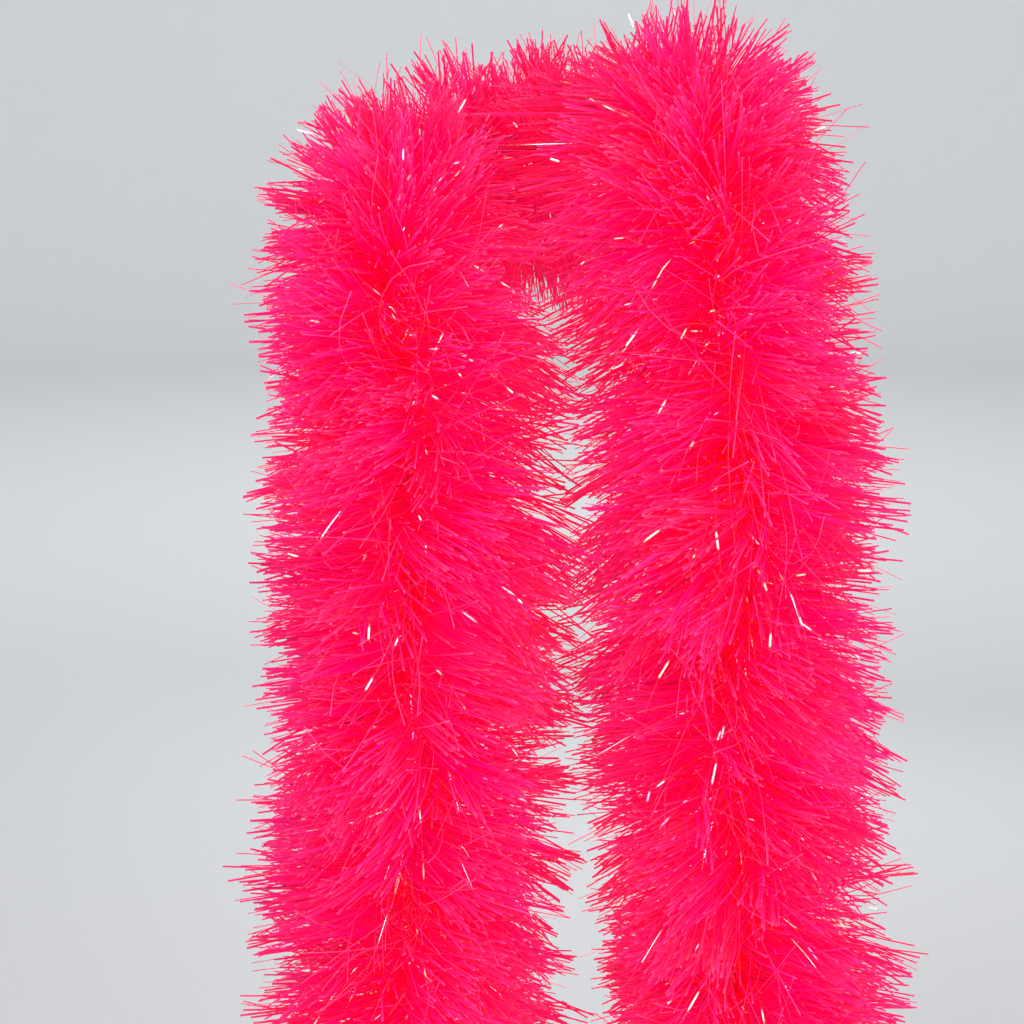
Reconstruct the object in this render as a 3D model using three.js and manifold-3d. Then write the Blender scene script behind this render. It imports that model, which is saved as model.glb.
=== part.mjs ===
// Filament boa: a twisted cord that holds a deep pile of cut synthetic fibres, worn round the neck with
// both tails hanging in front. Millimetres, +Z up, the wearer faces -Y. The origin is on the neck's axis,
// level with the core behind the neck.
//
// The boa is one cord. The stretch round the neck is a rigid collar, and each tail below it is a chain of
// sections. The pile is a three-start spiral brush, so each section of it is a twisted three-lobed solid.

import * as THREE from 'three';
import { mergeVertices } from 'three/addons/utils/BufferGeometryUtils.js';
import Module from 'manifold-3d';

const wasm = await Module();
wasm.setup();

// Driving dimensions of the boa.
const boa_length = 1830;           // along the core, from end to end
const core_r = 4;                  // twisted core cord
const pile_r = 74;                 // reach of the cut fibres from the core's middle
const lobe_half = 11;              // half the thickness of one spiral lobe of the pile
const spiral_turn = 240;           // length of cord in one full turn of the spiral
const sections = 4;                // hinged sections in each tail
const swing_max = 45;              // widest bend of one hinge, in degrees

// Driving dimensions of the way it is worn.
const neck_r = 51;                 // neck inside the collar
const nape_pad = 31;               // pressed pile between the neck and the core, at the back
const left_pad = 30;               // the same at the left crown
const right_pad = 11;              // the same at the right crown
const tail_gap = 4;                // between the two tails
const tail_forward = 110;          // core of a hanging tail, in front of the neck's axis
const hinge_drop = 150;            // first hinge of a tail, below the origin

// Small pieces.
const film_width = 1.4;
const film_thick = 0.6;
const film_hub_wall = 0.6;         // film wrapped once round the core
const film_hub_length = 5;
const whipping_wall = 1.3;
const whipping_length = 14;

// Clearances.
const touch_gap = 0.3;             // between pieces that touch
const section_gap = 0.5;           // between one stretch of pile and the next
const neck_gap = 1;                // between the neck and the pile pressed on it
const socket_room = 1.2;           // round the ball of a core's end
const cone_spare = 1;              // extra set-back of the pile at a hinge, in degrees

// Fineness of the solids.
const pile_step = 18;
const tip_detail = 1;
const core_step = 10;
const core_sides = 8;
const ring_sides = 16;
const cut_sides = 16;
const neck_sides = 48;
const dome_steps = 4;

// Derived dimensions.
const tail_x = pile_r + tail_gap / 2;
const cone_slope = Math.tan(THREE.MathUtils.degToRad(swing_max / 2 + cone_spare));
const reach = 2 * pile_r;          // half-width of a cutting tool, past every piece
const left_x = -(neck_r + left_pad);
const right_x = neck_r + right_pad;
const nape_y = neck_r + nape_pad;
const half_gap = section_gap / 2;

// Core route round the neck, from the left tail's first hinge to the right tail's. The right crown sits
// higher and closer to the neck than the left one.
const collar_route = new THREE.CatmullRomCurve3([
  [-tail_x, -tail_forward, -hinge_drop],
  [-tail_x, -tail_forward, -hinge_drop + 20],
  [-tail_x - 1, -tail_forward + 4, -104],
  [-tail_x - 2, -94, -72],
  [left_x, -74, -46],
  [left_x - 1, -46, -28],
  [left_x, -14, -19],
  [left_x + 4, 20, -14],
  [left_x + 18, 52, -9],
  [left_x / 2, nape_y - 10, -4],
  [0, nape_y, 0],
  [right_x / 2, nape_y - 11, 6],
  [right_x - 7, 45, 13],
  [right_x, 14, 17],
  [right_x, -20, 17],
  [right_x, -52, 5],
  [right_x + 2, -78, -18],
  [right_x + 6, -97, -50],
  [tail_x - 2, -tail_forward + 4, -88],
  [tail_x, -tail_forward, -hinge_drop + 20],
  [tail_x, -tail_forward, -hinge_drop],
].map((point) => new THREE.Vector3(...point)));
collar_route.arcLengthDivisions = 800;

const collar_length = collar_route.getLength();
const tail_length = (boa_length - collar_length) / 2;
const section_length = tail_length / sections;
const nape_start = collar_length * 0.39;
const nape_end = collar_length * 0.64;

// One stretch of core: where it starts, and how far its start is along the whole boa. Each tail runs
// down from its hinge, so the left tail's spiral is counted backwards.
const collar = { route: collar_route, length: collar_length, offset: 0, hand: 1 };

function tail(side) {
  const top = new THREE.Vector3(side * tail_x, -tail_forward, -hinge_drop);
  const bottom = top.clone().setZ(-hinge_drop - tail_length);
  const offset = side < 0 ? 0 : collar_length;
  return { route: new THREE.LineCurve3(top, bottom), length: tail_length, offset, hand: side };
}

// Axes across the core at a distance along it: away from the neck's axis, and square to that.
function frameAt(stretch, distance) {
  const within = THREE.MathUtils.clamp(distance, 0, stretch.length);
  const tangent = stretch.route.getTangentAt(within / stretch.length);
  const point = stretch.route.getPointAt(within / stretch.length)
    .addScaledVector(tangent, distance - within);
  const away = new THREE.Vector3(point.x, point.y, 0).normalize();
  const normal = away.addScaledVector(tangent, -away.dot(tangent)).normalize();
  const across = new THREE.Vector3().crossVectors(tangent, normal);
  return { point, tangent, normal, across };
}

function spiralAngle(stretch, distance) {
  const along = stretch.offset + stretch.hand * distance;
  return stretch.hand * (2 * Math.PI * along) / spiral_turn;
}

// Bends a straight extrusion on to a stretch of core. A spiral one also turns as it goes.
function bendAlong(geometry, stretch, from, is_spiral) {
  const position = geometry.attributes.position;
  for (let i = 0; i < position.count; i += 1) {
    const distance = from + position.getZ(i);
    const { point, normal, across } = frameAt(stretch, distance);
    const turn = is_spiral ? spiralAngle(stretch, distance) : 0;
    const x = position.getX(i) * Math.cos(turn) - position.getY(i) * Math.sin(turn);
    const y = position.getX(i) * Math.sin(turn) + position.getY(i) * Math.cos(turn);
    point.addScaledVector(normal, x).addScaledVector(across, y);
    position.setXYZ(i, point.x, point.y, point.z);
  }
  return geometry;
}

function toSolid(geometry) {
  const plain = geometry.clone();
  plain.deleteAttribute('normal');
  plain.deleteAttribute('uv');
  const merged = mergeVertices(plain, 1e-4);
  return new wasm.Manifold(new wasm.Mesh({
    numProp: 3,
    vertProperties: Float32Array.from(merged.attributes.position.array),
    triVerts: Uint32Array.from(merged.index.array),
  }));
}

function toGeometry(solid) {
  const mesh = solid.getMesh();
  const geometry = new THREE.BufferGeometry();
  geometry.setAttribute('position', new THREE.BufferAttribute(mesh.vertProperties, 3));
  geometry.setIndex(new THREE.BufferAttribute(mesh.triVerts, 1));
  return geometry;
}

// Section of the pile: three round-ended lobes, meeting where their flat sides cross.
function lobedShape() {
  const shape = new THREE.Shape();
  const tip = pile_r - lobe_half;
  const valley = lobe_half / Math.sin(Math.PI / 3);
  for (let lobe = 0; lobe < 3; lobe += 1) {
    const angle = (2 * Math.PI * lobe) / 3;
    shape.absarc(tip * Math.cos(angle), tip * Math.sin(angle), lobe_half,
      angle - Math.PI / 2, angle + Math.PI / 2, false);
    shape.lineTo(valley * Math.cos(angle + Math.PI / 3), valley * Math.sin(angle + Math.PI / 3));
  }
  return shape;
}

function lobedPile(stretch, from, to) {
  const depth = to - from;
  const steps = Math.ceil(depth / pile_step);
  const geometry = new THREE.ExtrudeGeometry(lobedShape(), {
    depth, steps, curveSegments: tip_detail, bevelEnabled: false,
  });
  return toSolid(bendAlong(geometry, stretch, from, true));
}

// Plain round cord of any radius along a stretch of core. Its rings stand at whole steps along the
// stretch, so that cords of two radii have the same bends and fit each other.
function roundCord(stretch, from, to, radius) {
  const shape = new THREE.Shape();
  for (let side = 0; side < core_sides; side += 1) {
    const angle = (2 * Math.PI * side) / core_sides;
    const next = side === 0 ? 'moveTo' : 'lineTo';
    shape[next](radius * Math.cos(angle), radius * Math.sin(angle));
  }
  const step = stretch.route.isLineCurve3 ? stretch.length * 2 : core_step;
  const first = Math.floor(from / step);
  const steps = Math.ceil(to / step) - first;
  const geometry = new THREE.ExtrudeGeometry(shape, { depth: steps, steps, bevelEnabled: false });
  const position = geometry.attributes.position;
  for (let i = 0; i < position.count; i += 1) {
    const whole = (first + Math.round(position.getZ(i))) * step;
    position.setZ(i, THREE.MathUtils.clamp(whole, from, to));
  }
  return toSolid(bendAlong(geometry, stretch, 0, false));
}

// Solid turned from a profile of [radius, height] points, with its axis along Z.
function latheUp(profile, sides) {
  const points = profile.map(([radius, height]) => new THREE.Vector2(radius, height));
  return new THREE.LatheGeometry(points, sides).rotateX(Math.PI / 2);
}

// Ball whose poles are on Z.
function ballUp(radius) {
  return new THREE.SphereGeometry(radius, core_sides, core_sides / 2).rotateX(Math.PI / 2);
}

// Ring round the core, centred on the origin with its axis along Z.
function ring(inner, outer, length) {
  const half = length / 2;
  const profile = [[inner, -half], [outer, -half], [outer, half], [inner, half], [inner, -half]];
  return latheUp(profile, ring_sides);
}

// One wrap of film round the core with a strand in each valley of the pile. The strands keep to the
// length of the fibres. Grown by a clearance, the same form is the space that the pile leaves for it.
function filmSpray(stretch, distance, clearance) {
  const { point, tangent, normal, across } = frameAt(stretch, distance);
  const inner = clearance > 0 ? core_r / 2 : core_r + touch_gap;
  const outer = core_r + touch_gap + film_hub_wall;
  let spray = toSolid(ring(inner, outer + clearance, film_hub_length + 2 * clearance));
  const start = outer - film_hub_wall / 2;
  const strand_length = pile_r - start;
  for (let lobe = 0; lobe < 3; lobe += 1) {
    const strand = new THREE.BoxGeometry(strand_length, film_thick + 2 * clearance,
      film_width + 2 * clearance);
    strand.translate(start + strand_length / 2, 0, 0);
    strand.rotateZ((2 * Math.PI * lobe) / 3 + Math.PI / 3 + spiralAngle(stretch, distance));
    spray = spray.add(toSolid(strand));
  }
  const placed = toGeometry(spray);
  placed.applyMatrix4(new THREE.Matrix4().makeBasis(normal, across, tangent).setPosition(point));
  return toSolid(placed);
}

// Space below a hinge, or above it, that the pile on the hinge's other side may bend into. It is a
// cylinder whose near end is a cone with its point at the hinge, and a socket for the round end of
// the core.
function hingeSpace(side, z, direction) {
  const tip = -half_gap;
  const profile = [[0, tip], [reach, tip - reach * cone_slope], [reach, reach * 2], [0, reach * 2]];
  const space = latheUp(profile, cut_sides);
  if (direction < 0) {
    space.rotateX(Math.PI);
  }
  const socket = ballUp(core_r + socket_room);
  const placed = toGeometry(toSolid(space).add(toSolid(socket)));
  return toSolid(placed.translate(side * tail_x, -tail_forward, z));
}

function neckSpace() {
  const neck = new THREE.CylinderGeometry(neck_r + neck_gap, neck_r + neck_gap, 8 * pile_r, neck_sides);
  return toSolid(neck.rotateX(Math.PI / 2));
}

// Space that belongs to the other side of the collar. The two crowns part on a slanting plane that
// passes midway between them and comes to the middle at the first hinges.
function otherSide(side) {
  const parting_x = (left_x + right_x) / 2;
  const block = new THREE.BoxGeometry(reach, 4 * reach, 4 * reach);
  block.translate(-side * (reach / 2 - half_gap), -2 * reach, 0);
  block.rotateY(Math.atan2(parting_x, hinge_drop));
  block.translate(0, 0, -hinge_drop);
  return toSolid(block);
}

// Materials.
const looks = {
  core: { color: 0xd4103c, roughness: 0.7, metalness: 0 },
  pile: { color: 0xff1457, roughness: 0.45, metalness: 0 },
  film: { color: 0xe8e4f2, roughness: 0.15, metalness: 0.3 },
  whipping: { color: 0xc00f38, roughness: 0.6, metalness: 0 },
};

const boa = new THREE.Group();

function addPiece(name, look, solid) {
  const mesh = new THREE.Mesh(toGeometry(solid), new THREE.MeshStandardMaterial(looks[look]));
  mesh.name = name;
  boa.add(mesh);
}

// The part of a cut pile that the core still holds.
function heldPart(solid) {
  const parts = solid.decompose();
  return parts.reduce((best, part) => (part.volume() > best.volume() ? part : best));
}

// Film of one stretch, and its pile with room cut for the film and the core. Both keep out of the
// stretch's cuts.
function addStretch(name, stretch, from, to, cuts) {
  const middle = (from + to) / 2;
  const bore = roundCord(stretch, -1, stretch.length + 1, core_r + touch_gap);
  const gap_before = from > 0 ? half_gap : 0;
  const gap_after = to < stretch.length ? half_gap : 0;
  let pile = lobedPile(stretch, from + gap_before, to - gap_after).subtract(bore);
  let film = filmSpray(stretch, middle, 0);
  for (const cut of cuts) {
    pile = pile.subtract(cut);
    film = film.subtract(cut);
  }
  addPiece(`pile_${name}`, 'pile', heldPart(pile.subtract(filmSpray(stretch, middle, touch_gap))));
  addPiece(`film_${name}`, 'film', heldPart(film));
}

// Collar: one core cord, with the pile in three stretches. Its ends stay clear of the round ends of the
// tails' cores.
function addCollar() {
  const end_room = core_r + touch_gap;
  addPiece('core_collar', 'core', roundCord(collar, end_room, collar_length - end_room, core_r));
  const neck = neckSpace();
  const left_hinge = hingeSpace(-1, -hinge_drop, -1);
  const right_hinge = hingeSpace(1, -hinge_drop, -1);
  addStretch('left_shoulder', collar, 0, nape_start, [neck, otherSide(-1), left_hinge]);
  addStretch('nape', collar, nape_start, nape_end, [neck]);
  addStretch('right_shoulder', collar, nape_end, collar_length, [neck, otherSide(1), right_hinge]);
}

// Core of one tail section: a ball on the hinge at its top, and an end short of the next ball.
function sectionCore(stretch, from, to) {
  const top = frameAt(stretch, from).point;
  const ball = ballUp(core_r).translate(top.x, top.y, top.z);
  return roundCord(stretch, from, to, core_r).add(toSolid(ball));
}

// Space round and below the domed free end of a tail's pile.
function endSpace(side, from, to) {
  const height = to - from;
  const profile = [[0, -height - reach], [reach, -height - reach], [reach, 0]];
  for (let step = 0; step < dome_steps; step += 1) {
    const angle = (Math.PI / 2) * (step / dome_steps);
    profile.push([(pile_r + 1) * Math.cos(angle), -height * Math.sin(angle)]);
  }
  profile.push([0, -height]);
  const space = latheUp(profile, cut_sides);
  space.translate(side * tail_x, -tail_forward, -hinge_drop - from);
  return toSolid(space);
}

function addTail(side, side_name) {
  const stretch = tail(side);
  for (let section = 1; section <= sections; section += 1) {
    const from = (section - 1) * section_length;
    const to = section * section_length;
    const is_last = section === sections;
    const name = `${side_name}_${section}`;
    const core_end = is_last ? to : to - core_r - touch_gap;
    const below = is_last
      ? [endSpace(side, from, to), whipping(side, touch_gap)]
      : [hingeSpace(side, -hinge_drop - to, -1)];
    addPiece(`core_${name}`, 'core', sectionCore(stretch, from, core_end));
    addStretch(name, stretch, from, to, [hingeSpace(side, -hinge_drop - from, 1), ...below]);
  }
  addPiece(`end_whipping_${side_name}`, 'whipping', whipping(side, 0));
}

// Thread bound round the last of the core.
function whipping(side, clearance) {
  const inner = clearance > 0 ? core_r / 2 : core_r + touch_gap;
  const outer = core_r + touch_gap + whipping_wall + clearance;
  const band = ring(inner, outer, whipping_length + 2 * clearance);
  band.translate(side * tail_x, -tail_forward, -hinge_drop - tail_length + whipping_length / 2 + 1);
  return toSolid(band);
}

addCollar();
addTail(-1, 'left');
addTail(1, 'right');

export default boa;
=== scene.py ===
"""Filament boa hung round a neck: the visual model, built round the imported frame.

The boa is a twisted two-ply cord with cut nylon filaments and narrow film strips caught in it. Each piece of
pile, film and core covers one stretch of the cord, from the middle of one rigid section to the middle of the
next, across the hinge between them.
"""
import math

import bmesh
import bpy
import numpy as np
from mathutils import Matrix, Vector


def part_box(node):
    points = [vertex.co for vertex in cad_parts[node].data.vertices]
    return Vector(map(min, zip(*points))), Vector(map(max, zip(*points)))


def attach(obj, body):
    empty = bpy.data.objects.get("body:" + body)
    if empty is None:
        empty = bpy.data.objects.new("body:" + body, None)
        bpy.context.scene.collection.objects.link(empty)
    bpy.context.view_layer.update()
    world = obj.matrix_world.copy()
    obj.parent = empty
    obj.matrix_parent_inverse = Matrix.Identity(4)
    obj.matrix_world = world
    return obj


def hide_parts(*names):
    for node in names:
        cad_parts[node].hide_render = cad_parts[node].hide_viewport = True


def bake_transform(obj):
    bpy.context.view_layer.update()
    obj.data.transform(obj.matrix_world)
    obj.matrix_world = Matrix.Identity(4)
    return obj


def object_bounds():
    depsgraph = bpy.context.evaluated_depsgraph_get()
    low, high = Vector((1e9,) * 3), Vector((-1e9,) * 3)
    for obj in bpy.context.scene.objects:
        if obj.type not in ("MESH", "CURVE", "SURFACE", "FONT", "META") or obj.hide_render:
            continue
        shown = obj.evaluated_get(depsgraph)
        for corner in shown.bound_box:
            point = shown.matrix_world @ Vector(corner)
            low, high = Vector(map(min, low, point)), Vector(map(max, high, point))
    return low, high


bl_info = {
    "name": "Filament boa",
    "version": (1, 0, 0),
    "blender": (4, 5, 0),
    "location": "3D View > Sidebar > Boa",
    "description": "Builds the pile, film, core and whippings of a filament boa round its frame",
    "category": "Add Mesh",
}

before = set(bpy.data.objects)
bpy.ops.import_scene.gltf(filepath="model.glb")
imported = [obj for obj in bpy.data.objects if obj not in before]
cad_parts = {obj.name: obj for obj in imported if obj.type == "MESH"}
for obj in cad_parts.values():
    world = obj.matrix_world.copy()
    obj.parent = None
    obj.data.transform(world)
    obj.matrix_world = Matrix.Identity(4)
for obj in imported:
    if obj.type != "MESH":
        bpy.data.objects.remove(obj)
CAD_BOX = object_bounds()

MM = 0.001
HINGES = 4
SIDES = {"left": -1, "right": 1}


# ---------------------------------------------------------------- the route of the core

def core_middle(side):
    """Plan position of a hanging tail's core."""
    low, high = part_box(f"core_{side}_1")
    return (low.x + high.x) / 2, (low.y + high.y) / 2


CORE_RADIUS = (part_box("core_left_1")[1].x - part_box("core_left_1")[0].x) / 2
TAIL_X = core_middle("right")[0]
TAIL_Y = core_middle("right")[1]
HINGE_Z = [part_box(f"core_left_{k}")[1].z - CORE_RADIUS for k in range(1, HINGES + 1)]
SECTION = HINGE_Z[0] - HINGE_Z[1]
TAIL_LENGTH = HINGES * SECTION
NECK_RADIUS = 0.051
SPIRAL_TURN = 0.240
PILE_STARTS = 3
END_TRIM = 0.024
SIDE_TRIM = 0.1655
END_SPLAY = 0.030
GOLDEN_TURN = (3 - math.sqrt(5)) / 2

# Round the neck, from the left tail's first hinge to the right tail's.
COLLAR_ROUTE = [
    (-TAIL_X, TAIL_Y, HINGE_Z[0]),
    (-TAIL_X, TAIL_Y, HINGE_Z[0] + 0.020),
    (-TAIL_X - 0.001, TAIL_Y + 0.004, -0.104),
    (-TAIL_X - 0.002, -0.094, -0.072),
    (-0.081, -0.074, -0.046),
    (-0.082, -0.046, -0.028),
    (-0.081, -0.014, -0.019),
    (-0.077, 0.020, -0.014),
    (-0.063, 0.052, -0.009),
    (-0.0405, 0.072, -0.004),
    (0.000, 0.082, 0.000),
    (0.031, 0.071, 0.006),
    (0.055, 0.045, 0.013),
    (0.062, 0.014, 0.017),
    (0.062, -0.020, 0.017),
    (0.062, -0.052, 0.005),
    (0.064, -0.078, -0.018),
    (0.068, -0.097, -0.050),
    (TAIL_X - 0.002, TAIL_Y + 0.004, -0.088),
    (TAIL_X, TAIL_Y, HINGE_Z[0] + 0.020),
    (TAIL_X, TAIL_Y, HINGE_Z[0]),
]
NAPE_SHARES = (0.39, 0.64)


def centripetal_curve(points, steps=40):
    """Points close together on the centripetal Catmull-Rom curve through some points."""
    given = np.array(points, float)
    ends = np.vstack([2 * given[0] - given[1], given, 2 * given[-1] - given[-2]])
    found = []
    for k in range(1, len(ends) - 2):
        p = ends[k - 1:k + 3]
        knot = np.concatenate([[0], np.cumsum(np.linalg.norm(np.diff(p, axis=0), axis=1) ** 0.5)])
        t = np.linspace(knot[1], knot[2], steps, endpoint=False)[:, None]
        a = [((knot[i + 1] - t) * p[i] + (t - knot[i]) * p[i + 1]) / (knot[i + 1] - knot[i])
             for i in range(3)]
        b = [((knot[i + 2] - t) * a[i] + (t - knot[i]) * a[i + 1]) / (knot[i + 2] - knot[i])
             for i in range(2)]
        found.append(((knot[2] - t) * b[0] + (t - knot[1]) * b[1]) / (knot[2] - knot[1]))
    return np.vstack(found + [given[-1:]])


class Route:
    """The whole core, from the left tail's end to the right tail's. A place on it is its distance from the
    left tail's first hinge, along the collar: it is below zero down the left tail, and past the collar's
    length down the right one."""

    def __init__(self):
        collar = centripetal_curve(COLLAR_ROUTE)
        drop = np.arange(0.002, TAIL_LENGTH + 0.06, 0.002)[:, None] * np.array([0, 0, -1.0])
        points = np.vstack([(collar[0] + drop)[::-1], collar, collar[-1] + drop])
        along = np.concatenate([[0], np.cumsum(np.linalg.norm(np.diff(points, axis=0), axis=1))])
        start = along[len(drop)]
        self.collar_length = along[len(drop) + len(collar) - 1] - start
        self.along = along - start
        self.points = points

    def at(self, place):
        """Core points, tangents, and the two directions across, at an array of places."""
        place = np.asarray(place, float)
        point = np.stack([np.interp(place, self.along, self.points[:, k]) for k in range(3)], -1)
        step = 0.004
        ahead = np.stack([np.interp(place + step, self.along, self.points[:, k]) for k in range(3)], -1)
        behind = np.stack([np.interp(place - step, self.along, self.points[:, k]) for k in range(3)], -1)
        tangent = unit(ahead - behind)
        away = point * [1, 1, 0]
        away = unit(away)
        normal = unit(away - tangent * (away * tangent).sum(-1, keepdims=True))
        return point, tangent, normal, np.cross(tangent, normal)


def unit(vectors):
    return vectors / np.maximum(np.linalg.norm(vectors, axis=-1, keepdims=True), 1e-12)


ROUTE = Route()
END_PLACES = {"left": -TAIL_LENGTH, "right": ROUTE.collar_length + TAIL_LENGTH}


class Stretch:
    """One stretch of the boa: its name, its first and last place, and what it rides on."""

    def __init__(self, name, start, end, bodies, nodes, hinge=None):
        self.name = name
        self.start = start
        self.end = end
        self.bodies = bodies
        self.nodes = nodes
        self.hinge = hinge

    def attach(self, piece):
        """Rides on one body; a piece across a hinge is only baked in place and rides on neither."""
        if self.hinge is None:
            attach(piece, self.bodies[0])
            return
        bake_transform(piece)


def collar_stretches():
    length = ROUTE.collar_length
    cuts = [SECTION / 2, NAPE_SHARES[0] * length, NAPE_SHARES[1] * length, length - SECTION / 2]
    names = ["left_shoulder", "nape", "right_shoulder"]
    return [Stretch(name, cuts[k], cuts[k + 1], ["collar"], [name]) for k, name in enumerate(names)]


def tail_stretches(side):
    """Four stretches across the tail's hinges, and its free tip."""
    sign = SIDES[side]
    origin = 0 if side == "left" else ROUTE.collar_length
    found = []
    for k in range(HINGES + 1):
        ends = sorted([origin + sign * (k - 0.5) * SECTION, origin + sign * (k + 0.5) * SECTION])
        if k == HINGES:
            tip_ends = sorted([origin + sign * (k - 0.5) * SECTION, END_PLACES[side]])
            found.append(Stretch(f"{side}_tip", *tip_ends, [f"{side}_section_{k}"], [f"{side}_{k}"]))
            continue
        above = "collar" if k == 0 else f"{side}_section_{k}"
        hinge = Vector((sign * TAIL_X, TAIL_Y, HINGE_Z[k]))
        bodies = [above, f"{side}_section_{k + 1}"]
        found.append(Stretch(f"{side}_hinge_{k + 1}", *ends, bodies, [f"{side}_{k + 1}"], hinge))
    return found


STRETCHES = collar_stretches() + tail_stretches("left") + tail_stretches("right")


# ---------------------------------------------------------------- settings

class BoaPileSettings(bpy.types.PropertyGroup):
    seed: bpy.props.IntProperty(
        name="Seed", description="Starts the random placing of filaments", default=11, min=0)
    per_mm: bpy.props.FloatProperty(
        name="Filaments per mm", description="Filament ends on each millimetre of core",
        default=39.0, min=1.0)
    tuft_size: bpy.props.IntProperty(
        name="Filaments in a tuft", description="Filaments that lie together as one tuft",
        default=30, min=1)
    reach: bpy.props.FloatProperty(
        name="Reach", description="From the core's middle to the longest cut ends",
        default=0.0785, unit="LENGTH")
    filament: bpy.props.FloatProperty(
        name="Filament width", description="Width across the flat side of one filament",
        default=0.00082, unit="LENGTH")
    flatness: bpy.props.FloatProperty(
        name="Flatness", description="Filament thickness as a share of its width",
        default=0.42, subtype="FACTOR", min=0.1, max=1)
    droop: bpy.props.FloatProperty(
        name="Droop", description="How far a level filament's tip sags, as a share of its length",
        default=0.36, subtype="FACTOR", min=0, max=1)
    sweep: bpy.props.FloatProperty(
        name="Sweep", description="How far the front and back filaments fall to the sides",
        default=1.1, min=0, max=2)
    filling: bpy.props.FloatProperty(
        name="Filling", description="Share of the filaments that fill between the tufts",
        default=0.30, subtype="FACTOR", min=0, max=0.9)
    loose: bpy.props.FloatProperty(
        name="Loose", description="Share of the filaments that spring out over the pile",
        default=0.055, subtype="FACTOR", min=0, max=0.1)
    body_color: bpy.props.StringProperty(
        name="Body colour", description="sRGB hex of the pile's mass", default="FF0057")
    # the colour painted deep in the pile, for light that has passed through many strands
    painted_depth_color: bpy.props.StringProperty(
        name="Root colour", description="sRGB hex deep in the pile", default="F50022")
    # the colour that lighter filaments are mixed towards, both for random tone and for painted highlights on cut
    # ends and loose filaments
    pale_tone_and_highlight_color: bpy.props.StringProperty(
        name="Tip colour", description="sRGB hex of the cut ends", default="FF4F86")


class BoaFilmSettings(bpy.types.PropertyGroup):
    per_mm: bpy.props.FloatProperty(
        name="Film strips per mm", description="Film strip ends on each millimetre of core",
        default=0.62, min=0.0)
    width: bpy.props.FloatProperty(
        name="Strip width", description="Width of one film strip", default=0.0008, unit="LENGTH")
    thickness: bpy.props.FloatProperty(
        name="Strip thickness", description="Thickness of one film strip", default=0.00006, unit="LENGTH")
    color: bpy.props.StringProperty(
        name="Film colour", description="sRGB hex of the clear film", default="F4EFF6")


class BoaCoreSettings(bpy.types.PropertyGroup):
    ply_turn: bpy.props.FloatProperty(
        name="Ply turn", description="Length of cord in one full turn of its plies",
        default=0.012, unit="LENGTH")
    color: bpy.props.StringProperty(
        name="Cord colour", description="sRGB hex of the core cord", default="F20030")
    thread: bpy.props.FloatProperty(
        name="Thread diameter", description="Thickness of the whipping thread",
        default=0.0009, unit="LENGTH")


class BoaStageSettings(bpy.types.PropertyGroup):
    distance: bpy.props.FloatProperty(
        name="Camera distance", description="From the tails' plane to the camera", default=1.0,
        unit="LENGTH")
    eye_height: bpy.props.FloatProperty(
        name="Eye height", description="Camera height above the core behind the neck", default=0.072,
        unit="LENGTH")
    aim_x: bpy.props.FloatProperty(
        name="Aim across", description="Middle of the picture across the boa", default=-0.0285,
        unit="LENGTH")
    aim_z: bpy.props.FloatProperty(
        name="Aim height", description="Middle of the picture up the boa", default=-0.145,
        unit="LENGTH")
    view_width: bpy.props.FloatProperty(
        name="View width", description="Width that the picture takes in at the tails", default=0.466,
        unit="LENGTH")
    floor_color: bpy.props.StringProperty(
        name="Floor colour", description="sRGB hex of the floor and backdrop", default="D2D4D6")


# ---------------------------------------------------------------- materials

def linear(hex_color):
    """sRGB hex to a linear RGBA tuple."""
    values = [int(hex_color[k:k + 2], 16) / 255 for k in (0, 2, 4)]
    return (*[v / 12.92 if v <= 0.04045 else ((v + 0.055) / 1.055) ** 2.4 for v in values], 1.0)


def add_node(tree, kind, settings=None, inputs=None, links=None):
    """A node with its own settings, its input values, and the sockets that feed its inputs."""
    node = tree.nodes.new(kind)
    for name, value in (settings or {}).items():
        setattr(node, name, value)
    for name, value in (inputs or {}).items():
        node.inputs[name].default_value = value
    for name, socket in (links or {}).items():
        tree.links.new(socket, node.inputs[name])
    return node


def new_material(name):
    material = bpy.data.materials.new(name)
    material.use_nodes = True
    material.node_tree.nodes.clear()
    return material, material.node_tree


def set_ramp(ramp, stops):
    """Colour stops as (place, linear colour)."""
    elements = ramp.color_ramp.elements
    while len(elements) < len(stops):
        elements.new(0.5)
    for element, (place, color) in zip(elements, stops):
        element.position = place
        element.color = color


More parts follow.
